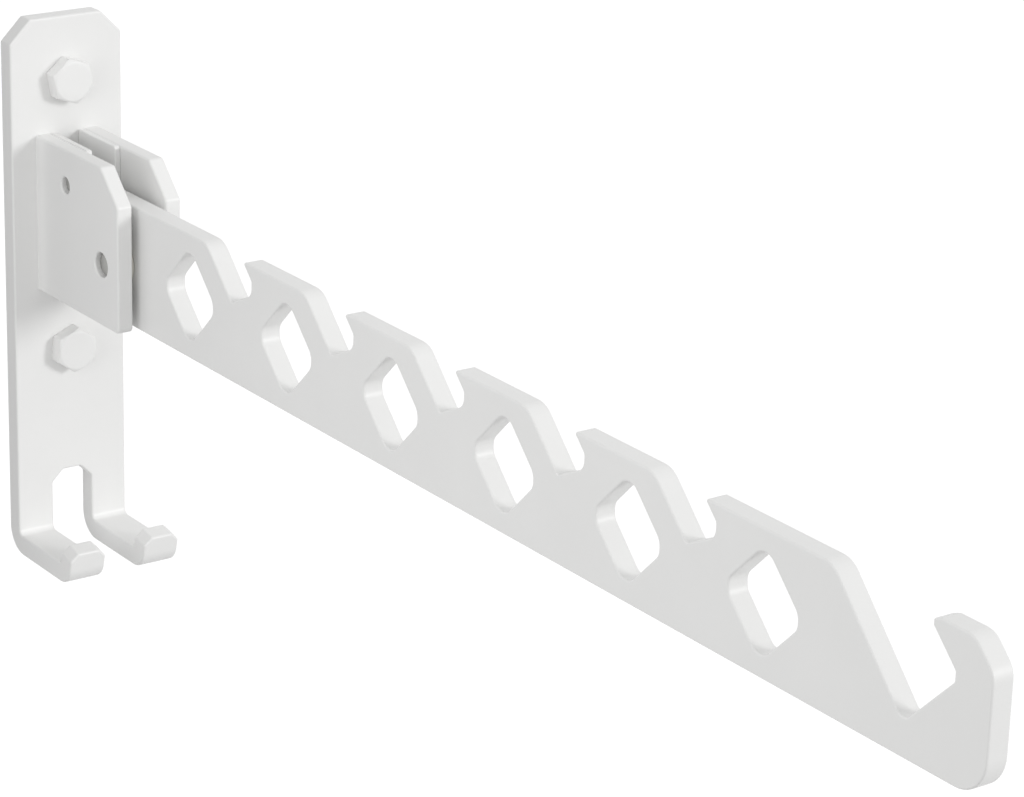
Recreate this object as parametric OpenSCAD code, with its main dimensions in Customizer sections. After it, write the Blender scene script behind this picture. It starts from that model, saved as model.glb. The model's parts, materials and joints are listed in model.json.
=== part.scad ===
// Folding wall hook: a notched garment arm hinged between two cheeks on a wall plate.
// X runs out from the wall, Y to the right of someone facing it, Z up.
// The origin lies on the wall, midway between the two wall screws.

/* [Wall plate] */
// Width of the flat bar
plate_w = 30; // [28:0.5:40]
// Thickness of the flat bar
plate_t = 5; // [4:0.5:6.5]
// Top of the plate above the origin
plate_rise = 49.5; // [46:0.5:65]
// Underside of the coat hooks below the origin
plate_drop = 86; // [80:0.5:110]
// Cut corners at the plate's top
plate_corner = 5.5; // [3:0.5:9]

/* [Coat hooks] */
// Width of the slot that parts the two hooks
slot_w = 10.8; // [8:0.2:14]
// Top of the slot above the hooks' shelf
slot_rise = 15; // [9:0.5:22]
// Slanted corners at the slot's top
slot_corner = 3; // [1.5:0.5:3.5]
// Clear depth of the hooks' shelf in front of the plate
hook_reach = 21; // [15:0.5:32]
// Height of the upturned lips above the shelf
lip_h = 4.8; // [4:0.2:14]
// Lean of the lips away from the wall, in degrees
lip_lean = 12; // [0:1:20]
// Cut corners of the lips
lip_corner = 2; // [1:0.1:3]
// Inner radius of the bend between plate and shelf
back_bend_r = 1.5; // [1:0.25:3]
// Inner radius of the bend between shelf and lip
lip_bend_r = 0.5; // [0.25:0.25:1.5]

/* [Wall screws] */
// Distance between the two screws
screw_spacing = 68; // [66:1:80]
// Thread diameter
screw_d = 6; // [5:0.5:7]
// Length under the head
screw_len = 25; // [18:1:40]
// Width across the flats of the head
head_af = 10; // [9:0.5:12]
// Height of the head
head_h = 4; // [3:0.25:5]

/* [Cheeks] */
// Thickness of a cheek
cheek_t = 4; // [3:0.25:5]
// Reach of the cheeks in front of the plate
cheek_reach = 39.5; // [37.5:0.5:42]
// How far the cheeks stand above the arm
cheek_over = 9; // [7:0.5:11]
// Cut corner at the top front of a cheek
cheek_corner = 8; // [5:0.5:10]
// Gap between a cheek and the arm
side_gap = 2; // [1.25:0.25:3]
// Gap between a guide plate and the arm's tail
guide_play = 0.5; // [0.3:0.1:0.8]
// How far the guide plates reach past the stop pin
guide_past = 1.8; // [1:0.2:4]
// Height of one tenon
tenon_h = 9; // [6:0.5:12]
// Depth of the weld behind a tenon
weld_depth = 1.2; // [0.8:0.1:2]

/* [Arm] */
// Thickness of the arm
arm_t = 5; // [4:0.5:6]
// Height of the arm
arm_h = 30; // [28:0.5:33]
// Tip of the arm in front of the plate
arm_reach = 335; // [260:5:420]
// Lower edge of the arm below the origin
arm_drop = 18; // [16:0.5:20]
// Distance between two notches
notch_pitch = 42; // [40:0.5:52]
// First nose in front of the plate
first_nose = 86; // [82:1:100]
// Depth of a notch at its foot
notch_depth = 11; // [9:0.25:12]
// Length of a notch's floor
notch_floor = 8.5; // [7:0.25:9.5]
// Rise of a notch's floor towards its nose
notch_rise = 4; // [2:0.25:4.5]
// Overhang of a nose over its notch
nose_over = 3.3; // [2:0.1:4]
// Metal left under and over the corners of a square hole
hole_strap = 3.3; // [2.8:0.1:5]
// Height of a hole's upright sides
hole_side = 3; // [2.8:0.2:6]
// Hole's middle in front of its nose
hole_ahead = 18.2; // [17:0.1:19]
// Hole's middle above the middle of the arm
hole_lift = 0; // [0:0.1:1]

/* [Arm tip] */
// Length from the top of the throat's slope to the tip
tip_len = 43.6; // [42:0.2:50]
// Throat's lowest corner above the lower edge
throat_floor = 7; // [5:0.25:8]
// Thickness of the upright at the tip
tip_wall = 9.8; // [7:0.1:11]
// Height of the upright's straight face over the throat
tip_face = 2.1; // [1.6:0.1:4]
// Hooked nose of the tip, behind the end
tip_nose = 16.2; // [14:0.1:18]
// Cut corner at the top of the tip
tip_corner = 5.4; // [3:0.1:7]
// Rounded corner under the tip
tip_round = 8; // [4:0.5:12]

/* [Pivot] */
// Pivot pin behind the cheeks' front edge
pivot_inset = 8.2; // [7:0.1:10]
// Diameter of the pivot pin
pivot_d = 6; // [5:0.25:7]
// Diameter of the stop pin
stop_d = 4; // [3:0.25:4.25]
// How deep the pins' ends lie in the cheeks
pin_recess = 1.2; // [0.6:0.1:1.8]
// Outer diameter of the bush in the arm
bush_d = 10; // [9:0.25:11]
// Outer diameter of a pivot washer
washer_d = 11; // [10.5:0.25:14]
// Length of the tail behind the pivot pin
tail_len = 22; // [19.5:0.5:23]

/* [Hidden] */
$fn = 64;

// Overrun of every cut
cut = 1;
// Widest turn of one step along a rounded corner, in degrees
step_angle = 15;

// Fits
press = 0.01;
running_play = 0.05;
washer_play = 0.1;
stop_gap = 0.1;
tenon_play = 0.1;
hole_play = 0.3;

// Places that follow from the sizes above
shelf_z = plate_t - plate_drop;
lip_x = plate_t + hook_reach;
lip_top_x = lip_x + lip_h * tan(lip_lean);
slot_top = shelf_z + slot_rise;
arm_bottom = -arm_drop;
cheek_h = arm_h + cheek_over;
cheek_in = arm_t / 2 + side_gap;
cheek_out = cheek_in + cheek_t;
pivot_out = cheek_reach - pivot_inset;
pivot_x = plate_t + pivot_out;
pivot_z = arm_bottom + arm_h / 2;

// The stop pin lies over the tail in use and behind the arm's top edge when it is folded up
tail_drop = 2;
stop_back = arm_h / 2 + stop_gap + stop_d / 2;
stop_up = arm_h / 2 - tail_drop + stop_gap + stop_d / 2;
tail_step = 1.5;
tail_corner = 5;
stop_x = pivot_x - stop_back;
stop_z = pivot_z + stop_up;

// Guide plates inside the cheeks, up to a little past the stop pin
guide_t = side_gap - guide_play;
guide_reach = stop_x + stop_d / 2 + guide_past - plate_t;

// Tenons at the ends of a cheek's back edge
tenon_inset = 5;
tenon_places = [tenon_inset, cheek_h - tenon_inset - tenon_h];

// Holes on their corners in the arm
hole_half = arm_h / 2 - hole_strap;
hole_flat = hole_half - hole_side / 2;
hole_up = arm_h / 2 + hole_lift;

// Rounded corners, the one at the foot of a notch's wall by the wall's height
slope_r = 6;
foot_r = 0.6;
nose_r = 0.4;
nose_cut = 0.5;
wall_r = 0.8;
floor_share = 0.9;
floor_r = floor_share * (notch_depth - notch_rise - nose_over - nose_cut);
hole_tip_r = 3.5;
hole_side_r = 3;
throat_r = 2;
tip_r = 5;
tip_nose_face = 1.3;
tip_nose_cut = 0.7;
tip_nose_run = 2;
tail_r = 1;
cheek_r = 1.2;

// Notches as far as the tip leaves room for them
last_room = 75;
notch_count = floor((arm_reach - last_room - first_nose) / notch_pitch) + 1;
noses = [for (i = [0 : notch_count - 1]) first_nose + i * notch_pitch];
hole_places = [for (i = [-1 : notch_count - 1]) first_nose + i * notch_pitch + hole_ahead];

// Parts of a wall screw
shank_d = screw_d - 2 * hole_play;
runout = 0.3;
thread_tip = 0.8;
head_face_share = 0.93;
head_chamfer_angle = 30;
upper_turn = 11;
lower_turn = -6;

// Chamfer on the ends of the pins
pin_chamfer = 0.5;

// Points of one corner, rounded to radius r, between its neighbours a and b
function unit(v) = v / norm(v);
function arc_point(centre, from, to, turn, share) =
    centre + (sin((1 - share) * turn) * from + sin(share * turn) * to) / sin(turn);
function corner(a, p, b, r) = r == 0 ? [p] :
    let (u = unit(a - p), v = unit(b - p), half = acos(u * v) / 2,
         centre = p + unit(u + v) * r / sin(half),
         from = p + u * r / tan(half) - centre, to = p + v * r / tan(half) - centre,
         turn = 180 - 2 * half, steps = ceil(turn / step_angle))
    [for (k = [0 : steps]) arc_point(centre, from, to, turn, k / steps)];

// Outline through corners given as [x, z, radius]
function place(q) = [q[0], q[1]];
function outline(q) = let (n = len(q)) [for (i = [0 : n - 1])
    each corner(place(q[(i + n - 1) % n]), place(q[i]), place(q[(i + 1) % n]), q[i][2])];

// Sheet of thickness t in the XZ plane, middle at Y zero
module upright(t) {
    rotate([90, 0, 0]) linear_extrude(t, center = true) children();
}

// Bore along Y through everything near it
module cross_bore(x, z, d) {
    translate([x, 0, z]) rotate([90, 0, 0]) cylinder(h = plate_w + 2 * cut, d = d, center = true);
}

// Bar bent up at the foot, seen from the side, its lip leaning away from the wall
module bar_profile() {
    lip_foot_x = lip_x + plate_t * (1 - sin(lip_lean)) / cos(lip_lean);
    polygon(outline([
        [0, plate_rise, 0],
        [0, -plate_drop, back_bend_r + plate_t],
        [lip_foot_x, -plate_drop, lip_bend_r + plate_t],
        [lip_top_x + plate_t * cos(lip_lean), shelf_z + lip_h - plate_t * sin(lip_lean), 0],
        [lip_top_x, shelf_z + lip_h, 0],
        [lip_x, shelf_z, lip_bend_r],
        [plate_t, shelf_z, back_bend_r],
        [plate_t, plate_rise, 0]]));
}

// Triangle that cuts a corner, its right angle at the origin, towards +Y and +Z
module corner_cut(size, depth) {
    rotate([90, 0, 90]) linear_extrude(depth)
        polygon([[-cut, -cut], [size + cut, -cut], [-cut, size + cut]]);
}

module slot_opening() {
    depth = lip_top_x + plate_t + 2 * cut;
    half = slot_w / 2;
    translate([-cut, 0, 0]) rotate([90, 0, 90]) linear_extrude(depth) polygon([
        [-half, -plate_drop - cut], [half, -plate_drop - cut], [half, slot_top - slot_corner],
        [half - slot_corner, slot_top], [slot_corner - half, slot_top],
        [-half, slot_top - slot_corner]]);
}

// Slot for one tenon, with the play around it
module tenon_slot(side, z) {
    width = cheek_t + 2 * tenon_play;
    translate([-cut, side * (cheek_in + cheek_t / 2) - width / 2, arm_bottom + z - tenon_play])
        cube([plate_t + 2 * cut, width, tenon_h + 2 * tenon_play]);
}

module wall_plate() {
    color("white") difference() {
        upright(plate_w) bar_profile();
        for (side = [-1, 1]) {
            translate([-cut, side * plate_w / 2, plate_rise]) mirror([0, side > 0 ? 1 : 0, 0])
                mirror([0, 0, 1]) corner_cut(plate_corner, plate_t + 2 * cut);
            for (edge = [slot_w / 2, plate_w / 2])
                translate([lip_top_x, side * edge, shelf_z + lip_h]) rotate([0, lip_lean, 0])
                    translate([-cut, 0, 0])
                    mirror([0, (edge > slot_w / 2) == (side > 0) ? 1 : 0, 0]) mirror([0, 0, 1])
                    corner_cut(lip_corner, plate_t + 2 * cut);
            translate([-cut, 0, side * screw_spacing / 2]) rotate([0, 90, 0])
                cylinder(h = plate_t + 2 * cut, d = screw_d + 2 * hole_play);
            for (z = tenon_places) tenon_slot(side, z);
        }
        slot_opening();
    }
}

// Cheek with its tenons, in the XZ plane
module cheek_profile() {
    back = plate_t;
    front = plate_t + cheek_reach;
    top = arm_bottom + cheek_h;
    polygon(outline([
        [back, arm_bottom, 0],
        [front, arm_bottom, cheek_r],
        [front, top - cheek_corner, cheek_r],
        [front - cheek_corner, top, cheek_r],
        [back, top, 0]]));
    for (z = tenon_places)
        translate([weld_depth, arm_bottom + z]) square([plate_t - weld_depth + cut, tenon_h]);
}

module cheek(side) {
    color("white") difference() {
        translate([0, side * (cheek_in + cheek_t / 2), 0]) upright(cheek_t) cheek_profile();
        cross_bore(pivot_x, pivot_z, pivot_d - 2 * press);
        cross_bore(stop_x, stop_z, stop_d - 2 * press);
    }
}

// Thin plate on a cheek's inner face that keeps the arm's tail in line
module guide_plate(side) {
    color("white") difference() {
        translate([plate_t, side * (cheek_in - guide_t / 2) - guide_t / 2, arm_bottom])
            cube([guide_reach, guide_t, cheek_h]);
        cross_bore(stop_x, stop_z, stop_d - 2 * press);
    }
}

// Weld metal that fills each slot behind its tenon, ground flush with the plate
module tenon_welds() {
    color("white") intersection() {
        for (side = [-1, 1], z = tenon_places) tenon_slot(side, z);
        translate([0, -plate_w / 2, arm_bottom]) cube([weld_depth, plate_w, cheek_h]);
    }
}

// Corners of one notch, from the slope's top to the nose
function notch(n) = let (wall = n + nose_over) [
    [wall - notch_floor - notch_depth, arm_h, slope_r],
    [wall - notch_floor, arm_h - notch_depth, foot_r],
    [wall, arm_h - notch_depth + notch_rise, floor_r],
    [wall, arm_h - nose_cut - nose_over, wall_r],
    [n, arm_h - nose_cut, nose_r],
    [n + nose_cut, arm_h, nose_r]];

// Corners of the tip, from the throat's slope round to the lower edge
function tip(e) = let (nose_foot = arm_h - tip_nose_cut - tip_nose_face,
                       wall_top = nose_foot - tip_nose + tip_wall,
                       wall_foot = wall_top - tip_face,
                       throat_back = tip_wall + wall_foot - throat_floor) [
    [e - tip_len, arm_h, slope_r],
    [e - throat_back, throat_floor, throat_r],
    [e - tip_wall, wall_foot, wall_r],
    [e - tip_wall, wall_top, wall_r],
    [e - tip_nose, nose_foot, nose_r],
    [e - tip_nose, arm_h - tip_nose_cut, nose_r],
    [e - tip_nose + tip_nose_run, arm_h, nose_r],
    [e - tip_corner, arm_h, tip_r],
    [e, arm_h - tip_corner, tip_r],
    [e, 0, tip_round]];

// Corners of the tail, from the lower edge up to the seat of the stop pin
function tail(p) = let (step_x = p - arm_h / 2 + tail_step) [
    [p - tail_len + tail_corner, 0, tail_r],
    [p - tail_len, tail_corner, tail_r],
    [p - tail_len, arm_h - tail_drop, tail_r],
    [step_x - tail_drop, arm_h - tail_drop, 0],
    [step_x, arm_h, 0]];

// Square hole on its corner, with its side corners cut upright
function diamond(x, z) = let (side = hole_side / 2) [
    [x, z + hole_half, hole_tip_r],
    [x + hole_flat, z + side, hole_side_r],
    [x + hole_flat, z - side, hole_side_r],
    [x, z - hole_half, hole_tip_r],
    [x - hole_flat, z - side, hole_side_r],
    [x - hole_flat, z + side, hole_side_r]];

module arm() {
    color("white") difference() {
        translate([plate_t, 0, arm_bottom]) upright(arm_t) difference() {
            polygon(outline(concat(
                tail(pivot_out), [for (n = noses) each notch(n)], tip(arm_reach))));
            for (x = hole_places) polygon(outline(diamond(x, hole_up)));
        }
        cross_bore(pivot_x, pivot_z, bush_d - 2 * press);
    }
}

// Ring on the pivot's axis, its middle at y
module pivot_ring(outer, inner, length, y) {
    translate([pivot_x, y, pivot_z]) rotate([90, 0, 0]) difference() {
        cylinder(h = length, d = outer, center = true);
        cylinder(h = length + 2 * cut, d = inner, center = true);
    }
}

module arm_bush() {
    color("goldenrod") pivot_ring(bush_d, pivot_d + 2 * running_play, arm_t, 0);
}

module pivot_washer(side) {
    color("ivory") pivot_ring(washer_d, pivot_d + 2 * washer_play,
        side_gap - 2 * running_play, side * (arm_t + side_gap) / 2);
}

// Pin along Y with chamfered ends, sunk into both cheeks
module cross_pin(x, z, d) {
    half = cheek_out - pin_recess;
    color("dimgray") translate([x, 0, z]) rotate([90, 0, 0]) rotate_extrude() polygon([
        [0, -half], [d / 2 - pin_chamfer, -half], [d / 2, -half + pin_chamfer],
        [d / 2, half - pin_chamfer], [d / 2 - pin_chamfer, half], [0, half]]);
}

// Hexagon-head screw lying along X, its head on the plate's front
module wall_screw(z, turn) {
    corner_d = head_af / cos(30);
    face_d = head_af * head_face_share;
    back = plate_t - screw_len;
    color("white") translate([0, 0, z]) rotate([0, 90, 0]) {
        translate([0, 0, plate_t]) intersection() {
            rotate([0, 0, turn]) cylinder(h = head_h, d = corner_d, $fn = 6);
            cylinder(h = head_h, d1 = face_d + 2 * head_h / tan(head_chamfer_angle), d2 = face_d);
        }
        rotate_extrude() polygon([
            [0, back], [screw_d / 2 - thread_tip, back], [screw_d / 2, back + thread_tip],
            [screw_d / 2, -runout], [shank_d / 2, -runout],
            [shank_d / 2, plate_t + head_h / 2], [0, plate_t + head_h / 2]]);
    }
}

wall_plate();
cheek(-1);  // left_cheek
cheek(1);  // right_cheek
tenon_welds();
guide_plate(-1);  // left_guide_plate
guide_plate(1);  // right_guide_plate
arm();
arm_bush();
pivot_washer(-1);  // left_pivot_washer
pivot_washer(1);  // right_pivot_washer
cross_pin(pivot_x, pivot_z, pivot_d);  // pivot_pin
cross_pin(stop_x, stop_z, stop_d);  // stop_pin
wall_screw(screw_spacing / 2, upper_turn);  // upper_wall_screw
wall_screw(-screw_spacing / 2, lower_turn);  // lower_wall_screw
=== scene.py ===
import json
from math import ceil, cos, pi, radians, sin, tan

import bmesh
import bpy
from mathutils import Matrix, Vector
from mathutils.geometry import delaunay_2d_cdt


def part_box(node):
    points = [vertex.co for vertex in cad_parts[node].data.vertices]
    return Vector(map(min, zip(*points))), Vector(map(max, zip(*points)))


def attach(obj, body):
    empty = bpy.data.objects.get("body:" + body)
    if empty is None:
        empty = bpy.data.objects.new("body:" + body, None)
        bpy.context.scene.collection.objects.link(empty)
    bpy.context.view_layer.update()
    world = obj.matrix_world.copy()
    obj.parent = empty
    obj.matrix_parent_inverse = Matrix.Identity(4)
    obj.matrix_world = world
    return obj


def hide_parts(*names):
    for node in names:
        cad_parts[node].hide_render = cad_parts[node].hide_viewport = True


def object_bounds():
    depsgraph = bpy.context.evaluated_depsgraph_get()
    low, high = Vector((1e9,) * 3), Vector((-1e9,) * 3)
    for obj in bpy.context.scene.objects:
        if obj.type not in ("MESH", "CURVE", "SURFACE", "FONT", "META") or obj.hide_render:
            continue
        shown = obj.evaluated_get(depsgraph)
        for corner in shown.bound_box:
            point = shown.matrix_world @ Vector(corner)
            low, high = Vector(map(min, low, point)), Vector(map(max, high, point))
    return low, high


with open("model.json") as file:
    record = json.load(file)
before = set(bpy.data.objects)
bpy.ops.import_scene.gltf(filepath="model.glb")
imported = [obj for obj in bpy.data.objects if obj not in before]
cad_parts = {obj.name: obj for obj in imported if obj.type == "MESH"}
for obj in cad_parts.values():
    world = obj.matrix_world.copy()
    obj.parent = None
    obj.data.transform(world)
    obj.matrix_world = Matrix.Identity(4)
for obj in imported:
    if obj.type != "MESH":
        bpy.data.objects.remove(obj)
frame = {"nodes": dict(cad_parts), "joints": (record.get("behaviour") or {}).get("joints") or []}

cad_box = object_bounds()

# Wall plate
# One length of 30 x 5 mm flat steel bar, laser cut and bent at the foot into two upturned
# coat hooks with a slot between them. It is powder coated white with the cheeks welded in.

mm = 0.001
plate_low, plate_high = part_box("wall_plate")
bar_t = 5 * mm
bar_corner = 5.5 * mm
slot_half = 5.4 * mm
slot_rise = 15 * mm
slot_corner = 3 * mm
hook_reach = 21 * mm
lip_corner = 2 * mm
lip_h = 4.8 * mm
lip_lean = radians(12)
back_bend = 1.5 * mm
lip_bend = 0.5 * mm
cut_r = 0.9 * mm
screw_hole_r = 3.3 * mm
screw_apart = 68 * mm
coat_edge = 0.55 * mm
edge_steps = 4
arc_step = radians(10)
bend_steps = 9
circle_parts = 8
least_r = 0.02 * mm
merge_gap = 0.0005 * mm
fill_gap_mm = 0.0001
cloud_size = 18 * mm
peel_size = 2.6 * mm
peel_depth = 0.03 * mm
grain_size = 0.5 * mm
grain_depth = 0.004 * mm
coat_roughness = 0.38, 0.46
coat_ior = 1.5


def srgb(code):
    """Linear colour of an sRGB hex value."""
    parts = [int(code[i:i + 2], 16) / 255 for i in (1, 3, 5)]
    return [v / 12.92 if v <= 0.04045 else ((v + 0.055) / 1.055) ** 2.4 for v in parts] + [1.0]


def add_node(tree, kind, settings=None, **inputs):
    """Adds a node. settings are its own properties, and inputs are its sockets, by name or by
    number after a _, as values or links."""
    made = tree.nodes.new(kind)
    for name, value in (settings or {}).items():
        setattr(made, name, value)
    for name, value in inputs.items():
        key = int(name[1:]) if name[0] == "_" else name.replace("_", " ")
        socket = made.inputs[key]
        if isinstance(value, bpy.types.NodeSocket):
            tree.links.new(value, socket)
        else:
            socket.default_value = value
    return made


def new_material(name):
    """A named material, with its node tree and its shader."""
    material = bpy.data.materials.new(name)
    material.use_nodes = True
    return material, material.node_tree, material.node_tree.nodes["Principled BSDF"]


def powder_coat():
    """White polyester powder coat on steel: gloss, with a faint orange peel 2 to 3 mm across and
    fine grains in it, and a little unevenness in its white."""
    material, tree, shader = new_material("white_powder_coat")
    place = add_node(tree, "ShaderNodeTexCoord").outputs["Object"]
    clouds = add_node(tree, "ShaderNodeTexNoise", Vector=place, Scale=1 / cloud_size, Detail=3.0)
    whites = add_node(tree, "ShaderNodeMix", {"data_type": "RGBA"}, Factor=clouds.outputs["Fac"],
                      _6=srgb("#eeeeed"), _7=srgb("#f3f3f2"))
    peel = add_node(tree, "ShaderNodeTexNoise", Vector=place, Scale=1 / peel_size, Detail=1.0)
    grain = add_node(tree, "ShaderNodeTexNoise", Vector=place, Scale=1 / grain_size, Detail=2.0)
    gloss = add_node(tree, "ShaderNodeMapRange", Value=grain.outputs["Fac"],
                     To_Min=coat_roughness[0], To_Max=coat_roughness[1])
    wave = add_node(tree, "ShaderNodeBump", Height=peel.outputs["Fac"], Distance=peel_depth,
                    Strength=0.6)
    fine = add_node(tree, "ShaderNodeBump", Height=grain.outputs["Fac"], Distance=grain_depth,
                    Strength=0.5, Normal=wave.outputs["Normal"])
    tree.links.new(whites.outputs[2], shader.inputs["Base Color"])
    tree.links.new(gloss.outputs["Result"], shader.inputs["Roughness"])
    tree.links.new(fine.outputs["Normal"], shader.inputs["Normal"])
    shader.inputs["IOR"].default_value = coat_ior
    return material


def left_of(v):
    """The direction a quarter turn to the left of v."""
    return Vector((-v.y, v.x))


def ring(corners, inset):
    """Points of a closed outline with its metal on the left, drawn in by inset. Its corners are
    given as (u, v, radius)."""
    count = len(corners)
    spots = [Vector(c[:2]) for c in corners]
    ways = [(spots[(i + 1) % count] - spots[i]).normalized() for i in range(count)]
    points = []
    for i, (spot, corner) in enumerate(zip(spots, corners)):
        before, after = ways[i - 1], ways[i]
        turn = -before.angle_signed(after)
        moved = spot + (left_of(before) + left_of(after)) * inset / (1 + before.dot(after))
        side = 1 if turn > 0 else -1
        radius = max(corner[2] - side * inset, least_r)
        start = moved - before * radius * tan(abs(turn) / 2)
        centre = start + left_of(before) * radius * side
        steps = max(1, ceil(abs(turn) / arc_step))
        for k in range(steps + 1):
            points.append(centre + Matrix.Rotation(turn * k / steps, 2) @ (start - centre))
    return points


def circle_corners(u, v, radius):
    """A round hole as corners whose arcs meet, with the metal on its left."""
    out = radius / cos(pi / circle_parts)
    turns = [-2 * pi * k / circle_parts for k in range(circle_parts)]
    return [(u + out * cos(a), v + out * sin(a), radius) for a in turns]


def in_metal(point, spots, edges):
    """Whether a line from the point crosses the outlines an odd number of times."""
    crossed = 0
    for i, k in edges:
        a, b = spots[i], spots[k]
        if (a.y > point.y) != (b.y > point.y):
            crossed += point.x < a.x + (b.x - a.x) * (point.y - a.y) / (b.y - a.y)
    return crossed % 2 == 1


def soft_plate(loops, thickness, edge, cuts=()):
    """A plate in (u, v, height) with these outlines and holes and edges rounded by its coat.
    cuts are levels of v where it is divided, so that it can be bent there."""
    bm = bmesh.new()
    flat = bm.faces.layers.int.new("flat")
    turns = [pi / 2 * k / edge_steps for k in range(edge_steps + 1)]
    rise = [(edge * (1 - cos(a)), thickness / 2 - edge * (1 - sin(a))) for a in turns]
    levels = [(inset, -h) for inset, h in reversed(rise)] + rise
    rims = [[], []]
    rim_edges = []
    for corners in loops:
        rings = [[bm.verts.new((p.x, p.y, h)) for p in ring(corners, inset)] for inset, h in levels]
        count = len(rings[0])
        first = len(rims[0])
        rim_edges += [(first + i, first + (i + 1) % count) for i in range(count)]
        for j, (low, high) in enumerate(zip(rings, rings[1:])):
            for i in range(count):
                k = (i + 1) % count
                bm.faces.new((low[i], low[k], high[k], high[i]))[flat] = j == edge_steps
        rims[0] += rings[0]
        rims[1] += rings[-1]
    for rim in rims:
        spots = [Vector((v.co.x, v.co.y)) / mm for v in rim]
        filled = delaunay_2d_cdt(spots, rim_edges, [], 1, fill_gap_mm)
        for face in filled[2]:
            middle = sum((filled[0][i] for i in face), Vector((0, 0))) / len(face)
            if in_metal(middle, spots, rim_edges):
                bm.faces.new([rim[filled[3][i][0]] for i in face])[flat] = 1
    bmesh.ops.remove_doubles(bm, verts=bm.verts, dist=merge_gap)
    if not all(edge.is_manifold for edge in bm.edges):
        raise ValueError("a plate isn't closed")
    bmesh.ops.recalc_face_normals(bm, faces=bm.faces)
    for level in cuts:
        everything = bm.verts[:] + bm.edges[:] + bm.faces[:]
        bmesh.ops.bisect_plane(bm, geom=everything, plane_co=(0, level, 0), plane_no=(0, 1, 0))
    return bm


def shade_smooth(mesh):
    """Smooth normals in which the flats stay flat, so that only the rounded edges turn."""
    marks = mesh.attributes.get("flat")
    flats = [Vector() for _ in mesh.vertices]
    rounds = [Vector() for _ in mesh.vertices]
    for face in mesh.polygons:
        into = flats if marks is None or marks.data[face.index].value else rounds
        for v in face.vertices:
            into[v] += face.normal * face.area
    mesh.polygons.foreach_set("use_smooth", [True] * len(mesh.polygons))
    normals = [(a if a.length > 0 else b).normalized() for a, b in zip(flats, rounds)]
    mesh.normals_split_custom_set_from_vertices(normals)
    if marks:
        mesh.attributes.remove(marks)


def add_piece(name, mesh, body, nodes):
    """Makes the mesh an object that rides on a body and stands for CAD nodes."""
    piece = bpy.data.objects.new(name, mesh)
    bpy.context.scene.collection.objects.link(piece)
    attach(piece, body)
    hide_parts(*nodes)


def add_coated(node, bm, body):
    """Makes a plate the coated piece that stands for one CAD node."""
    mesh = bpy.data.meshes.new(node + "_coated")
    bm.to_mesh(mesh)
    bm.free()
    shade_smooth(mesh)
    mesh.materials.append(coat)
    add_piece(mesh.name, mesh, body, (node,))


coat = powder_coat()
bar_half = plate_high.y
shelf_z = plate_low.z + bar_t
slot_top = shelf_z + slot_rise
first_bend_z = shelf_z + back_bend
first_bend_x = bar_t + back_bend
lip_turn = pi / 2 - lip_lean
second_bend_x = bar_t + hook_reach - lip_bend * tan(lip_turn / 2)
second_bend_z = shelf_z + lip_bend
mid_first = back_bend + bar_t / 2
mid_second = lip_bend + bar_t / 2
stretches = [mid_first * pi / 2, second_bend_x - first_bend_x, mid_second * lip_turn,
             lip_h / cos(lip_lean) - lip_bend * tan(lip_turn / 2)]
ends = [first_bend_z - sum(stretches[:k]) for k in range(len(stretches) + 1)]


def bend_bar(p):
    """Where a point of the flat bar comes to lie once its foot is bent twice."""
    across, level, out = p
    if level >= ends[0]:
        return Vector((bar_t / 2 + out, across, level))
    if level >= ends[1]:
        angle = (ends[0] - level) / mid_first
        return Vector((first_bend_x - (mid_first - out) * cos(angle), across,
                       first_bend_z - (mid_first - out) * sin(angle)))
    if level >= ends[2]:
        return Vector((first_bend_x + ends[1] - level, across, plate_low.z + bar_t / 2 + out))
    angle = min((ends[2] - level) / mid_second, lip_turn)
    past = max(ends[3] - level, 0)
    return Vector((second_bend_x + (mid_second - out) * sin(angle) + past * cos(lip_turn), across,
                   second_bend_z - (mid_second - out) * cos(angle) + past * sin(lip_turn)))


def hook_end(side):
    """Corners of one hook's end, from the slot outwards or back."""
    corners = [(slot_half, ends[4] + lip_corner), (slot_half + lip_corner, ends[4]),
               (bar_half - lip_corner, ends[4]), (bar_half, ends[4] + lip_corner)]
    return [(side * u, v, cut_r) for u, v in corners[::side]]


bar_outline = (
    [(bar_half, plate_high.z - bar_corner, cut_r), (bar_half - bar_corner, plate_high.z, cut_r),
     (bar_corner - bar_half, plate_high.z, cut_r), (-bar_half, plate_high.z - bar_corner, cut_r)]
    + hook_end(-1)
    + [(-slot_half, slot_top - slot_corner, cut_r), (slot_corner - slot_half, slot_top, cut_r),
       (slot_half - slot_corner, slot_top, cut_r), (slot_half, slot_top - slot_corner, cut_r)]
    + hook_end(1))
bend_cuts = [start - (start - end) * k / bend_steps
             for start, end in ((ends[0], ends[1]), (ends[2], ends[3]))
             for k in range(bend_steps + 1)]
plate = soft_plate([bar_outline] + [circle_corners(0, z, screw_hole_r)
                                    for z in (screw_apart / 2, -screw_apart / 2)],
                   bar_t, coat_edge, bend_cuts)
for vertex in plate.verts:
    vertex.co = bend_bar(vertex.co)
add_coated("wall_plate", plate, "bracket")

# Cheeks
# Two 4 mm steel plates, laser cut with a cut corner at the top front. Their back edges have
# tenons through the wall plate, so the front shows a clean joint with no weld bead.

cheek_low, cheek_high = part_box("left_cheek")
cheek_t = cheek_high.y - cheek_low.y
cheek_corner = 8 * mm
cheek_root = 1 * mm
cheek_r = 1.2 * mm
pivot_x, pivot_z = frame["joints"][0]["pos_m"][0], frame["joints"][0]["pos_m"][2]
pin_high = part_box("pivot_pin")[1]
stop_low, stop_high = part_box("stop_pin")
stop_x, stop_z = (stop_low.x + stop_high.x) / 2, (stop_low.z + stop_high.z) / 2


def upright(bm, middle_y):
    """Turns a plate drawn in (u, v, height) to stand along X and Z with its middle at middle_y."""
    for v in bm.verts:
        v.co = Vector((v.co.x, middle_y - v.co.z, v.co.y))
    return bm


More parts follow.
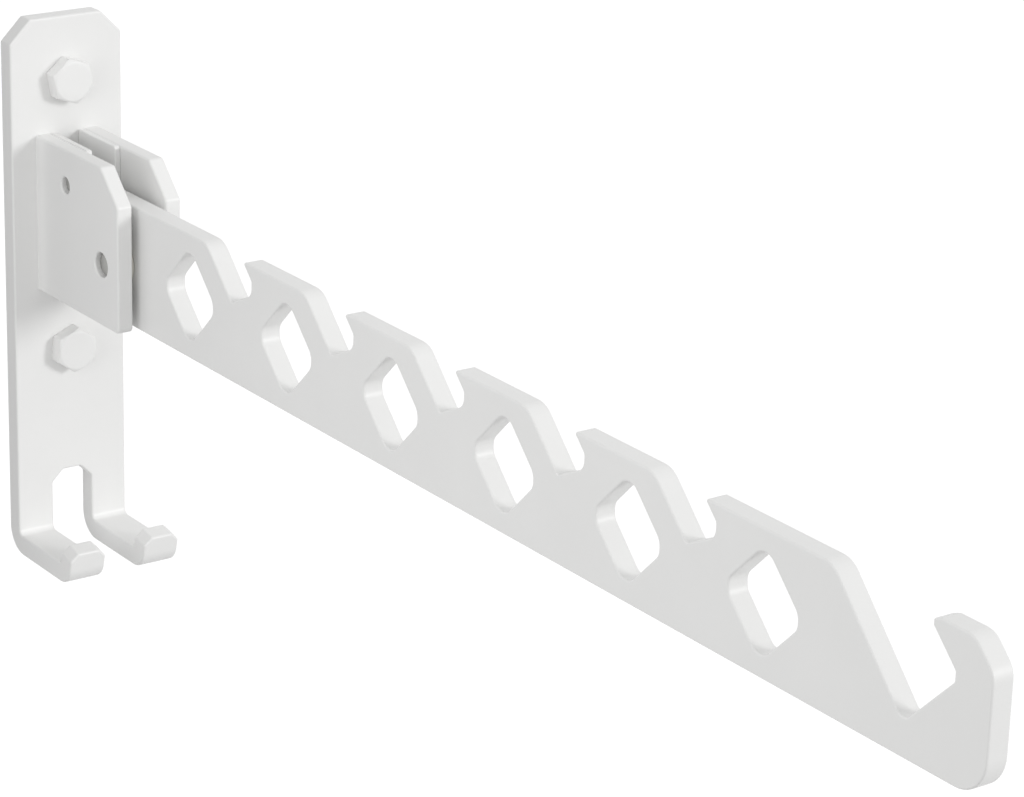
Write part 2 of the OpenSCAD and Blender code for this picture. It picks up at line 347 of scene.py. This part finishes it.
cheek_outline = [
    (bar_t - cheek_root, cheek_low.z, cut_r), (cheek_high.x, cheek_low.z, cheek_r),
    (cheek_high.x, cheek_high.z - cheek_corner, cheek_r),
    (cheek_high.x - cheek_corner, cheek_high.z, cheek_r),
    (bar_t - cheek_root, cheek_high.z, cut_r)]
cheek_holes = [circle_corners(pivot_x, pivot_z, pin_high.x - pivot_x),
               circle_corners(stop_x, stop_z, stop_high.x - stop_x)]
for name in ("left_cheek", "right_cheek"):
    low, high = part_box(name)
    cheek = soft_plate([cheek_outline] + cheek_holes, cheek_t, coat_edge)
    add_coated(name, upright(cheek, (low.y + high.y) / 2), "bracket")

# Guide plates
# Two 1.5 mm steel plates on the cheeks' inner faces, from the wall plate to just past the stop
# pin. They narrow the gap so that the arm's tail can't wander. Coated with the bracket.

for name in ("left_guide_plate", "right_guide_plate"):
    low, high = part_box(name)
    guide_outline = [(low.x, low.z, cut_r), (high.x, low.z, cut_r), (high.x, high.z, cut_r),
                     (low.x, high.z, cut_r)]
    guide = soft_plate([guide_outline, circle_corners(stop_x, stop_z, stop_high.x - stop_x)],
                       high.y - low.y, coat_edge / 2)
    add_coated(name, upright(guide, (low.y + high.y) / 2), "bracket")

# Arm
# A 30 x 5 mm steel bar, laser cut with slanted hanger notches in its top edge, a square hole
# on its corner under each tooth and an open hook at the tip. Powder coated like the plate.

arm_low, arm_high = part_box("arm")
arm_t = arm_high.y - arm_low.y
arm_h = arm_high.z - arm_low.z
notch_pitch = 42 * mm
first_nose = 91 * mm
notch_total = 5
notch_depth = 11 * mm
notch_floor = 8.5 * mm
notch_rise = 4 * mm
nose_over = 3.3 * mm
nose_cut = 0.5 * mm
nose_r = 0.45 * mm
wall_r = 0.8 * mm
foot_r = 0.6 * mm
arm_edge = 0.45 * mm
slope_r = 6 * mm
floor_r = 2.88 * mm
hole_half = 11.7 * mm
hole_side = 1.5 * mm
hole_ahead = 18.2 * mm
hole_up = 15 * mm
hole_side_r = 3 * mm
hole_tip_r = 3.5 * mm
tip_len = 43.6 * mm
tip_wall = 9.8 * mm
tip_nose = 16.2 * mm
tip_face = 2.1 * mm
tip_nose_face = 1.3 * mm
tip_nose_cut = 0.7 * mm
tip_nose_run = 2 * mm
tip_corner = 5.4 * mm
tip_r = 5 * mm
tip_low_r = 8 * mm
throat_floor = 7 * mm
throat_r = 2 * mm
tail_drop = 2 * mm
tail_step = 1.5 * mm
tail_corner = 5 * mm
tail_r = 1 * mm
bush_r = (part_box("arm_bush")[1].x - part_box("arm_bush")[0].x) / 2


def notch(nose):
    """Corners of one notch in the top edge, taken from its nose back to the slope."""
    wall = nose + nose_over
    return [(nose + nose_cut, arm_h, nose_r), (nose, arm_h - nose_cut, nose_r),
            (wall, arm_h - nose_cut - nose_over, wall_r),
            (wall, arm_h - notch_depth + notch_rise, floor_r),
            (wall - notch_floor, arm_h - notch_depth, foot_r),
            (wall - notch_floor - notch_depth, arm_h, slope_r)]


def tip(end):
    """Corners of the tip, from under its end back to the top of the throat's slope."""
    nose_foot = arm_h - tip_nose_cut - tip_nose_face
    wall_top = nose_foot - tip_nose + tip_wall
    wall_foot = wall_top - tip_face
    throat = tip_wall + wall_foot - throat_floor
    return [(end, 0, tip_low_r), (end, arm_h - tip_corner, tip_r),
            (end - tip_corner, arm_h, tip_r), (end - tip_nose + tip_nose_run, arm_h, nose_r),
            (end - tip_nose, arm_h - tip_nose_cut, nose_r), (end - tip_nose, nose_foot, nose_r),
            (end - tip_wall, wall_top, wall_r), (end - tip_wall, wall_foot, wall_r),
            (end - throat, throat_floor, throat_r), (end - tip_len, arm_h, slope_r)]


def tail():
    """Corners of the tail behind the pivot, with the seat of the stop pin on its top."""
    step = pivot_x - arm_h / 2 + tail_step
    back = arm_low.x
    return [(step, arm_h, tail_r), (step - tail_drop, arm_h - tail_drop, tail_r),
            (back, arm_h - tail_drop, tail_r), (back, tail_corner, tail_r),
            (back + tail_corner, 0, tail_r)]


def square_hole(middle):
    """Corners of a square hole on its corner, with its two side corners cut upright."""
    flat = hole_half - hole_side
    low, high = hole_up - hole_side, hole_up + hole_side
    return [(middle + flat, low, hole_side_r), (middle, hole_up - hole_half, hole_tip_r),
            (middle - flat, low, hole_side_r), (middle - flat, high, hole_side_r),
            (middle, hole_up + hole_half, hole_tip_r), (middle + flat, high, hole_side_r)]


noses = [first_nose + k * notch_pitch for k in range(notch_total)]
arm_outline = tip(arm_high.x)
for nose in reversed(noses):
    arm_outline += notch(nose)
arm_outline += tail()
arm_loops = [arm_outline, circle_corners(pivot_x, pivot_z - arm_low.z, bush_r)]
arm_loops += [square_hole(nose + hole_ahead) for nose in [first_nose - notch_pitch] + noses]
arm = upright(soft_plate(arm_loops, arm_t, arm_edge), 0)
bmesh.ops.translate(arm, verts=arm.verts, vec=(0, 0, arm_low.z))
add_coated("arm", arm, "arm")

# Pins
# A 6 mm pivot pin and a 4 mm stop pin of plain turned steel, pressed through both cheeks after
# coating. Their ends lie a little below the cheeks' faces, so they look dark.

turning_marks = 0.4 * mm
steel_roughness = 0.35, 0.55


def turned_steel():
    """Free-cutting steel as it leaves the lathe: grey, finely mottled by a thin film of oil."""
    material, tree, shader = new_material("turned_steel")
    place = add_node(tree, "ShaderNodeTexCoord").outputs["Object"]
    marks = add_node(tree, "ShaderNodeTexNoise", Vector=place, Scale=1 / turning_marks, Detail=4.0)
    tones = add_node(tree, "ShaderNodeMix", {"data_type": "RGBA"}, Factor=marks.outputs["Fac"],
                     _6=srgb("#969694"), _7=srgb("#aeaeab"))
    worn = add_node(tree, "ShaderNodeMapRange", Value=marks.outputs["Fac"],
                    To_Min=steel_roughness[0], To_Max=steel_roughness[1])
    tree.links.new(tones.outputs[2], shader.inputs["Base Color"])
    tree.links.new(worn.outputs["Result"], shader.inputs["Roughness"])
    shader.inputs["Metallic"].default_value = 1.0
    return material


def dress_node(name, material):
    """Gives a CAD node this material in place of its plain one."""
    finish = frame["nodes"][name].data.materials
    finish.clear()
    finish.append(material)


steel = turned_steel()
for name in ("pivot_pin", "stop_pin"):
    dress_node(name, steel)

# Bush and washers
# A sintered bronze bush is pressed into the arm and turns on the pivot pin. A washer of natural
# acetal on each side fills the gap between the arm and the cheek.

washer_low, washer_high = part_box("left_pivot_washer")
washer_r = (washer_high.x - washer_low.x) / 2
washer_bore_r = 3.1 * mm
washer_t = washer_high.y - washer_low.y
washer_apart = abs(washer_low.y + washer_high.y)
washer_edge = 0.15 * mm
washer_sides = 72
bronze_grain = 0.15 * mm
acetal_grain = 0.8 * mm
grain_bump = 0.01 * mm
gloss_spread = 0.06
bevel_steps = 3
bevel_from = radians(22)
sharp_from = radians(35)
solid_gap = 0.002 * mm


def grained(name, dark, light, grain, metallic, roughness):
    """A material whose colour and gloss vary a little over grains of one size."""
    material, tree, shader = new_material(name)
    place = add_node(tree, "ShaderNodeTexCoord").outputs["Object"]
    marks = add_node(tree, "ShaderNodeTexNoise", Vector=place, Scale=1 / grain, Detail=3.0)
    tones = add_node(tree, "ShaderNodeMix", {"data_type": "RGBA"}, Factor=marks.outputs["Fac"],
                     _6=srgb(dark), _7=srgb(light))
    gloss = add_node(tree, "ShaderNodeMapRange", Value=marks.outputs["Fac"],
                     To_Min=roughness - gloss_spread, To_Max=roughness + gloss_spread)
    rub = add_node(tree, "ShaderNodeBump", Height=marks.outputs["Fac"], Distance=grain_bump,
                   Strength=0.5)
    tree.links.new(tones.outputs[2], shader.inputs["Base Color"])
    tree.links.new(gloss.outputs["Result"], shader.inputs["Roughness"])
    tree.links.new(rub.outputs["Normal"], shader.inputs["Normal"])
    shader.inputs["Metallic"].default_value = metallic
    return material


def geometry_tree(name, **inputs):
    """A geometry node tree with these named number inputs; returns it with its group input."""
    tree = bpy.data.node_groups.new(name, "GeometryNodeTree")
    tree.interface.new_socket("Geometry", in_out="INPUT", socket_type="NodeSocketGeometry")
    for label in inputs:
        tree.interface.new_socket(label.replace("_", " "), in_out="INPUT",
                                  socket_type="NodeSocketFloat")
    tree.interface.new_socket("Geometry", in_out="OUTPUT", socket_type="NodeSocketGeometry")
    return tree, add_node(tree, "NodeGroupInput").outputs


def place_two(tree, shape, begin, stride, rotation):
    """Two copies of a node's shape, one at begin and one a stride further on."""
    spots = add_node(tree, "GeometryNodeMeshLine", Count=2, Start_Location=begin.outputs[0],
                     Offset=stride.outputs[0])
    placed = add_node(tree, "GeometryNodeInstanceOnPoints", Points=spots.outputs[0],
                      Instance=shape.outputs[0], Rotation=rotation)
    return placed.outputs[0]


def end_tree(tree, shape, material):
    """Ends a tree: its instances become real and take one material."""
    real = add_node(tree, "GeometryNodeRealizeInstances", Geometry=shape)
    painted = add_node(tree, "GeometryNodeSetMaterial", Geometry=real.outputs[0], Material=material)
    add_node(tree, "NodeGroupOutput", Geometry=painted.outputs[0])


def grow(name, tree, inputs, body, nodes, edge=0.0):
    """Runs a tree with its inputs, rounds hard edges by edge, and makes a plain piece of it."""
    seed = bpy.data.objects.new(name + "_seed", bpy.data.meshes.new(name + "_seed"))
    bpy.context.scene.collection.objects.link(seed)
    modifier = seed.modifiers.new("shape", "NODES")
    modifier.node_group = tree
    for item in tree.interface.items_tree:
        if item.in_out == "INPUT" and item.name.replace(" ", "_") in inputs:
            modifier[item.identifier] = inputs[item.name.replace(" ", "_")]
    if edge:
        bevel = seed.modifiers.new("edge", "BEVEL")
        bevel.width = edge
        bevel.segments = bevel_steps
        bevel.limit_method = "ANGLE"
        bevel.angle_limit = bevel_from
    held = bpy.context.evaluated_depsgraph_get()
    mesh = bpy.data.meshes.new_from_object(seed.evaluated_get(held), depsgraph=held)
    mesh.name = name
    bpy.data.objects.remove(seed)
    work = bmesh.new()
    work.from_mesh(mesh)
    bmesh.ops.remove_doubles(work, verts=work.verts, dist=solid_gap)
    bmesh.ops.recalc_face_normals(work, faces=work.faces)
    work.to_mesh(mesh)
    work.free()
    mesh.shade_smooth()
    mesh.set_sharp_from_angle(angle=sharp_from)
    add_piece(name, mesh, body, nodes)


bronze = grained("sintered_bronze", "#7a5a30", "#9a7440", bronze_grain, 1.0, 0.5)
dress_node("arm_bush", bronze)

acetal = grained("natural_acetal", "#dcdad0", "#e6e4dc", acetal_grain, 0.0, 0.45)
washer_inputs = dict(Outer_Radius=washer_r, Bore_Radius=washer_bore_r, Thickness=washer_t,
                     Apart=washer_apart, Pivot_X=pivot_x, Pivot_Z=pivot_z)
rings, given = geometry_tree("pivot_washers", **washer_inputs)
wide = add_node(rings, "ShaderNodeMath", {"operation": "SUBTRACT"},
                _0=given["Outer Radius"], _1=given["Bore Radius"])
middle = add_node(rings, "ShaderNodeMath", {"operation": "MULTIPLY_ADD"}, _0=wide.outputs[0],
                  _1=0.5, _2=given["Bore Radius"])
circle = add_node(rings, "GeometryNodeCurvePrimitiveCircle", Resolution=washer_sides,
                  Radius=middle.outputs[0])
section = add_node(rings, "GeometryNodeCurvePrimitiveQuadrilateral", Width=wide.outputs[0],
                   Height=given["Thickness"])
ring_mesh = add_node(rings, "GeometryNodeCurveToMesh", Curve=circle.outputs[0],
                     Profile_Curve=section.outputs[0])
half = add_node(rings, "ShaderNodeMath", {"operation": "MULTIPLY"}, _0=given["Apart"], _1=-0.5)
begin = add_node(rings, "ShaderNodeCombineXYZ", X=given["Pivot X"], Y=half.outputs[0],
                 Z=given["Pivot Z"])
stride = add_node(rings, "ShaderNodeCombineXYZ", Y=given["Apart"])
end_tree(rings, place_two(rings, ring_mesh, begin, stride, (pi / 2, 0, 0)), acetal)
grow("pivot_washers_turned", rings, washer_inputs, "bracket",
     ("left_pivot_washer", "right_pivot_washer"), washer_edge)

# Wall screws
# Two M6 zinc plated hexagon screws. Their heads are coated like the plate, which softens their
# edges; the threads behind the plate stay bare and run into the wall.

screw_low, screw_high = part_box("upper_wall_screw")
head_flats = 10 * mm
head_h = screw_high.x - bar_t
head_face = 9.3 * mm
head_edge = 0.35 * mm
chamfer_angle = radians(30)
chamfer_sides = 96
upper_turn = radians(11)
lower_turn = radians(-6)
thread_r = 3 * mm
thread_pitch = 1 * mm
thread_depth = 0.55 * mm
thread_start = 0.3 * mm
thread_steps = 28
ridge_sides = 6
core_sides = 48
zinc_grain = 0.3 * mm
zinc = grained("zinc_plate", "#b4b6b8", "#cfd1d2", zinc_grain, 1.0, 0.35)

head_inputs = dict(Flats=head_flats, Height=head_h, Face=head_face, Chamfer_Angle=chamfer_angle,
                   Foot=bar_t, Spacing=screw_apart, Lower_Turn=lower_turn, Upper_Turn=upper_turn)
heads, given = geometry_tree("hexagon_heads", **head_inputs)
corner = add_node(heads, "ShaderNodeMath", {"operation": "DIVIDE"}, _0=given["Flats"],
                  _1=2 * cos(pi / 6))
prism = add_node(heads, "GeometryNodeMeshCone", {"fill_type": "NGON"}, Vertices=6,
                 Radius_Top=corner.outputs[0], Radius_Bottom=corner.outputs[0],
                 Depth=given["Height"])
face_r = add_node(heads, "ShaderNodeMath", {"operation": "MULTIPLY"}, _0=given["Face"], _1=0.5)
slope = add_node(heads, "ShaderNodeMath", {"operation": "TANGENT"}, _0=given["Chamfer Angle"])
spread = add_node(heads, "ShaderNodeMath", {"operation": "DIVIDE"}, _0=given["Height"],
                  _1=slope.outputs[0])
wide_r = add_node(heads, "ShaderNodeMath", {"operation": "ADD"}, _0=spread.outputs[0],
                  _1=face_r.outputs[0])
cone = add_node(heads, "GeometryNodeMeshCone", {"fill_type": "NGON"}, Vertices=chamfer_sides,
                Radius_Top=face_r.outputs[0], Radius_Bottom=wide_r.outputs[0],
                Depth=given["Height"])
head = add_node(heads, "GeometryNodeMeshBoolean", {"operation": "INTERSECT", "solver": "EXACT"})
heads.links.new(prism.outputs[0], head.inputs[1])
heads.links.new(cone.outputs[0], head.inputs[1])
low_z = add_node(heads, "ShaderNodeMath", {"operation": "MULTIPLY"}, _0=given["Spacing"], _1=-0.5)
begin = add_node(heads, "ShaderNodeCombineXYZ", X=given["Foot"], Z=low_z.outputs[0])
stride = add_node(heads, "ShaderNodeCombineXYZ", Z=given["Spacing"])
which = add_node(heads, "GeometryNodeInputIndex")
turn = add_node(heads, "ShaderNodeMapRange", Value=which.outputs[0], To_Min=given["Lower Turn"],
                To_Max=given["Upper Turn"])
facing = add_node(heads, "ShaderNodeCombineXYZ", Y=pi / 2)
spun = add_node(heads, "ShaderNodeCombineXYZ", Z=turn.outputs["Result"])
face_out = add_node(heads, "FunctionNodeRotateRotation", {"rotation_space": "LOCAL"},
                    _0=facing.outputs[0], _1=spun.outputs[0])
end_tree(heads, place_two(heads, head, begin, stride, face_out.outputs[0]), coat)
grow("wall_screw_heads_coated", heads, head_inputs, "bracket",
     ("upper_wall_screw", "lower_wall_screw"), head_edge)

thread_length = -thread_start - screw_low.x
thread_inputs = dict(Radius=thread_r, Pitch=thread_pitch, Depth=thread_depth,
                     Length=thread_length, Start=-thread_start, Foot=bar_t, Spacing=screw_apart)
threads, given = geometry_tree("threaded_shanks", **thread_inputs)
core_r = add_node(threads, "ShaderNodeMath", {"operation": "SUBTRACT"}, _0=given["Radius"],
                  _1=given["Depth"])
turns = add_node(threads, "ShaderNodeMath", {"operation": "DIVIDE"}, _0=given["Length"],
                 _1=given["Pitch"])
fewer = add_node(threads, "ShaderNodeMath", {"operation": "SUBTRACT"}, _0=turns.outputs[0], _1=1.0)
climb = add_node(threads, "ShaderNodeMath", {"operation": "MULTIPLY"}, _0=fewer.outputs[0],
                 _1=given["Pitch"])
helix = add_node(threads, "GeometryNodeCurveSpiral", Resolution=thread_steps,
                 Rotations=fewer.outputs[0], Start_Radius=core_r.outputs[0],
                 End_Radius=core_r.outputs[0], Height=climb.outputs[0])
ridge = add_node(threads, "GeometryNodeCurvePrimitiveCircle", Resolution=ridge_sides,
                 Radius=given["Depth"])
winding = add_node(threads, "GeometryNodeCurveToMesh", Curve=helix.outputs[0],
                   Profile_Curve=ridge.outputs[0], Fill_Caps=True)
inset = add_node(threads, "ShaderNodeMath", {"operation": "MULTIPLY"}, _0=given["Pitch"], _1=0.5)
sunk = add_node(threads, "ShaderNodeCombineXYZ", Z=inset.outputs[0])
wound = add_node(threads, "GeometryNodeTransform", Geometry=winding.outputs[0],
                 Translation=sunk.outputs[0])
through = add_node(threads, "ShaderNodeMath", {"operation": "SUBTRACT"}, _0=given["Foot"],
                   _1=given["Start"])
whole = add_node(threads, "ShaderNodeMath", {"operation": "ADD"}, _0=given["Length"],
                 _1=through.outputs[0])
core = add_node(threads, "GeometryNodeMeshCylinder", {"fill_type": "NGON"},
                Vertices=core_sides, Radius=core_r.outputs[0], Depth=whole.outputs[0])
half_length = add_node(threads, "ShaderNodeMath", {"operation": "MULTIPLY"}, _0=whole.outputs[0],
                       _1=0.5)
centre = add_node(threads, "ShaderNodeCombineXYZ", Z=half_length.outputs[0])
shank = add_node(threads, "GeometryNodeTransform", Geometry=core.outputs[0],
                 Translation=centre.outputs[0])
joined = add_node(threads, "GeometryNodeJoinGeometry")
threads.links.new(wound.outputs[0], joined.inputs[0])
threads.links.new(shank.outputs[0], joined.inputs[0])
point_x = add_node(threads, "ShaderNodeMath", {"operation": "SUBTRACT"}, _0=given["Start"],
                   _1=given["Length"])
low_z = add_node(threads, "ShaderNodeMath", {"operation": "MULTIPLY"}, _0=given["Spacing"],
                 _1=-0.5)
begin = add_node(threads, "ShaderNodeCombineXYZ", X=point_x.outputs[0], Z=low_z.outputs[0])
stride = add_node(threads, "ShaderNodeCombineXYZ", Z=given["Spacing"])
end_tree(threads, place_two(threads, joined, begin, stride, (0, pi / 2, 0)), zinc)
grow("wall_screw_threads", threads, thread_inputs, "bracket",
     ("upper_wall_screw", "lower_wall_screw"))

# Tenon welds
# Each cheek's two tenons are welded from the back of the wall plate and ground flush, so a faint
# swelling under the coat is all that shows of the four welds.

weld_low, weld_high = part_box("tenon_welds")
weld_width = cheek_t + 0.2 * mm
weld_height = 9.2 * mm
weld_proud = 0.12 * mm
weld_edge = 0.1 * mm
weld_points = 3, 9, 17
dent_size = 1.5 * mm
dent_depth = 0.04 * mm
weld_inputs = dict(Width=weld_width, Height=weld_height, Proud=weld_proud, Depth=weld_high.x,
                   Apart_Y=weld_high.y - weld_low.y - weld_width,
                   Apart_Z=weld_high.z - weld_low.z - weld_height,
                   Middle_Z=(weld_high.z + weld_low.z) / 2)
welds, given = geometry_tree("ground_welds", **weld_inputs)
thick = add_node(welds, "ShaderNodeMath", {"operation": "ADD"}, _0=given["Proud"],
                 _1=given["Depth"])
size = add_node(welds, "ShaderNodeCombineXYZ", X=thick.outputs[0], Y=given["Width"],
                Z=given["Height"])
block = add_node(welds, "GeometryNodeMeshCube", Size=size.outputs[0],
                 Vertices_X=weld_points[0], Vertices_Y=weld_points[1], Vertices_Z=weld_points[2])
dents = add_node(welds, "ShaderNodeTexNoise", Scale=1 / dent_size, Detail=2.0)
deep = add_node(welds, "ShaderNodeMapRange", Value=dents.outputs["Fac"], To_Min=-dent_depth,
                To_Max=dent_depth)
shift = add_node(welds, "ShaderNodeCombineXYZ", X=deep.outputs["Result"])
ground = add_node(welds, "GeometryNodeSetPosition", Geometry=block.outputs[0],
                  Offset=shift.outputs[0])
field = add_node(welds, "GeometryNodeMeshGrid", Size_X=given["Apart Z"], Size_Y=given["Apart Y"],
                 Vertices_X=2, Vertices_Y=2)
half_proud = add_node(welds, "ShaderNodeMath", {"operation": "SUBTRACT"}, _0=given["Depth"],
                      _1=given["Proud"])
out_x = add_node(welds, "ShaderNodeMath", {"operation": "MULTIPLY"}, _0=half_proud.outputs[0],
                 _1=0.5)
middle = add_node(welds, "ShaderNodeCombineXYZ", X=out_x.outputs[0], Z=given["Middle Z"])
stood = add_node(welds, "GeometryNodeTransform", Geometry=field.outputs[0],
                 Translation=middle.outputs[0], Rotation=(0, pi / 2, 0))
placed = add_node(welds, "GeometryNodeInstanceOnPoints", Points=stood.outputs[0],
                  Instance=ground.outputs[0])
end_tree(welds, placed.outputs[0], coat)
grow("tenon_welds_ground", welds, weld_inputs, "bracket", ("tenon_welds",),
     weld_edge)

# Studio
# A plain pale floor well below the hook, an even white sky, a soft lamp from the upper right
# that throws the short shadows on the plate, a weak lamp on the left, and beside the plate a
# black card, unseen, that darkens its left edge.

floor_drop = 1.5
floor_half = 20.0
floor_glow = 0.6
sky_level = 0.73
lamp_power = 0.95
lamp_softness = radians(16)
lamp_way = Vector((1, 0.6, 0.3))
fill_power = 0.3
fill_size = 0.3
fill_place = Vector((0.2, -0.37, 0.08))
fill_aim = Vector((0.2, 0, 0))
flag_x = -0.02
flag_near = -0.02
flag_far = -0.065
flag_half = 0.3


def seen_white(tree):
    """1 for a ray from the camera, a reflection or a clear material, and 0 for any other."""
    ray = add_node(tree, "ShaderNodeLightPath").outputs
    looked = add_node(tree, "ShaderNodeMath", {"operation": "MAXIMUM"},
                      _0=ray["Is Camera Ray"], _1=ray["Is Glossy Ray"])
    seen = add_node(tree, "ShaderNodeMath", {"operation": "MAXIMUM"},
                    _0=looked.outputs[0], _1=ray["Is Transmission Ray"])
    return seen.outputs[0]


def floor_paint():
    """Pale matt paint that reads white to the camera and to reflections, and keeps shadows."""
    material, tree, shader = new_material("pale_floor")
    tree.nodes.remove(shader)
    paint = add_node(tree, "ShaderNodeBsdfDiffuse", Color=srgb("#cccccc"))
    lift = add_node(tree, "ShaderNodeEmission", Color=(1, 1, 1, 1), Strength=floor_glow)
    both = add_node(tree, "ShaderNodeAddShader", _0=paint.outputs[0], _1=lift.outputs[0])
    mixed = add_node(tree, "ShaderNodeMixShader", _0=seen_white(tree), _1=paint.outputs[0],
                     _2=both.outputs[0])
    tree.links.new(mixed.outputs[0], tree.nodes["Material Output"].inputs["Surface"])
    return material


def matt_black():
    """Matt black card, which sends almost no light back."""
    material, tree, shader = new_material("black_card")
    tree.nodes.remove(shader)
    card = add_node(tree, "ShaderNodeBsdfDiffuse", Color=srgb("#101010"))
    tree.links.new(card.outputs[0], tree.nodes["Material Output"].inputs["Surface"])
    return material


def stage_sheet(name, corners, material):
    """A flat sheet of the studio with these four corners, which is no part of the hook."""
    mesh = bpy.data.meshes.new(name)
    mesh.from_pydata(corners, [], [(0, 1, 2, 3)])
    mesh.materials.append(material)
    sheet = bpy.data.objects.new(name, mesh)
    bpy.context.scene.collection.objects.link(sheet)
    return sheet


def add_lamp(name, kind, power, way):
    """A lamp that shines against the direction way."""
    lamp = bpy.data.lights.new(name, kind)
    lamp.energy = power
    holder = bpy.data.objects.new(name, lamp)
    holder.rotation_euler = way.to_track_quat("Z", "Y").to_euler()
    bpy.context.scene.collection.objects.link(holder)
    return holder


floor_z = cad_box[0][2] - floor_drop
stage_sheet("floor", [(x * floor_half, y * floor_half, floor_z)
                      for x, y in ((-1, -1), (1, -1), (1, 1), (-1, 1))], floor_paint())
flag = stage_sheet("flag", [(flag_x, flag_near, -flag_half), (flag_x, flag_far, -flag_half),
                            (flag_x, flag_far, flag_half), (flag_x, flag_near, flag_half)],
                   matt_black())
flag.visible_camera = False
flag.visible_glossy = False

world = bpy.data.worlds.new("white_studio")
bpy.context.scene.world = world
world.use_nodes = True
sky = world.node_tree
sky.nodes.clear()
level = add_node(sky, "ShaderNodeMapRange", Value=seen_white(sky), To_Min=sky_level, To_Max=1.0)
glow = add_node(sky, "ShaderNodeBackground", Color=(1, 1, 1, 1), Strength=level.outputs["Result"])
add_node(sky, "ShaderNodeOutputWorld", Surface=glow.outputs[0])

add_lamp("soft_lamp", "SUN", lamp_power, lamp_way).data.angle = lamp_softness
fill = add_lamp("fill_lamp", "AREA", fill_power, fill_place - fill_aim)
fill.data.size = fill_size
fill.location = fill_place

# Camera
# A long lens from the front left and above, turned a little so that the verticals lie as they
# do in the photograph. Azimuth is how far the line of sight is turned from +Y towards -X.

camera_azimuth = radians(54.37)
camera_elevation = radians(19.88)
camera_roll = radians(1.64)
camera_place = Vector((757.2, -405.0, 262.0)) * mm
image_width = 1024
sensor_width = 36
focal_pixels = 3645.9
camera_data = bpy.data.cameras.new("camera")
camera_data.sensor_width = sensor_width
camera_data.lens = focal_pixels / image_width * sensor_width
camera = bpy.data.objects.new("camera", camera_data)
turned = (Matrix.Rotation(camera_azimuth, 4, "Z")
          @ Matrix.Rotation(pi / 2 - camera_elevation, 4, "X")
          @ Matrix.Rotation(camera_roll, 4, "Z"))
camera.matrix_world = Matrix.Translation(camera_place) @ turned
bpy.context.scene.collection.objects.link(camera)
bpy.context.scene.camera = camera
bpy.context.scene.view_settings.view_transform = "Standard"
